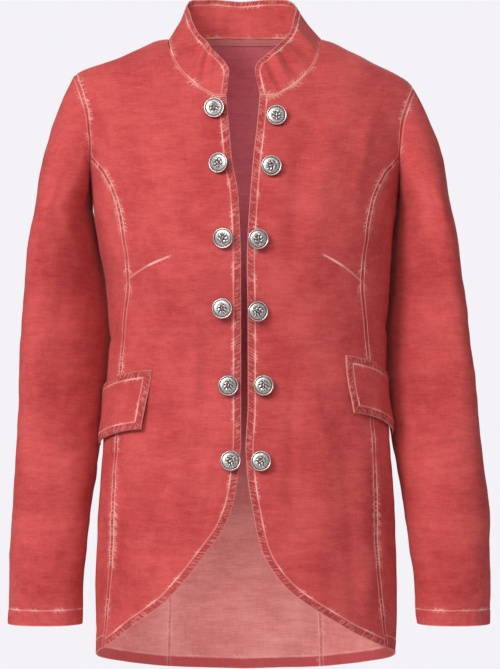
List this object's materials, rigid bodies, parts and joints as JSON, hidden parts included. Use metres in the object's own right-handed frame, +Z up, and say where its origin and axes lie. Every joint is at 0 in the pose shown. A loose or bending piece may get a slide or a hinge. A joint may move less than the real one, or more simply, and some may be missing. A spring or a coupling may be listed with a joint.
{
  "type": "hip-length cutaway jacket with stand collar",
  "caption": "Open-front hip-length jacket with stand collar, long sleeves, cutaway fronts, longer rounded back, slanting pocket flaps and paired domed buttons.",
  "frame": {"origin": "middle of the neck opening at the height of the collar seam beside the neck, where the wearer's neck and shoulders hold the jacket", "axes": "+Z up, -Y the front, -X the wearer's right"},
  "size_m": [0.5413, 0.2593, 0.773],
  "materials": {
    "cotton": "pigment-washed slubby cotton, matte, rubbed pale at the seams",
    "tape": "narrow cotton tape",
    "pewter": "antique silver, dark in the recesses"
  },
  "bodies": {
    "root": {"back": "cotton", "side_right": "cotton", "side_left": "cotton", "front_right": "cotton", "front_left": "cotton", "collar": "cotton", "sleeve_right": "cotton", "sleeve_left": "cotton", "flap_right": "cotton", "flap_left": "cotton", "neck_tape": "tape", "button_right_1": "pewter", "button_right_2": "pewter", "button_right_3": "pewter", "button_right_4": "pewter", "button_right_5": "pewter", "button_right_6": "pewter", "button_left_1": "pewter", "button_left_2": "pewter", "button_left_3": "pewter", "button_left_4": "pewter", "button_left_5": "pewter", "button_left_6": "pewter"}
  },
  "joints": []
}
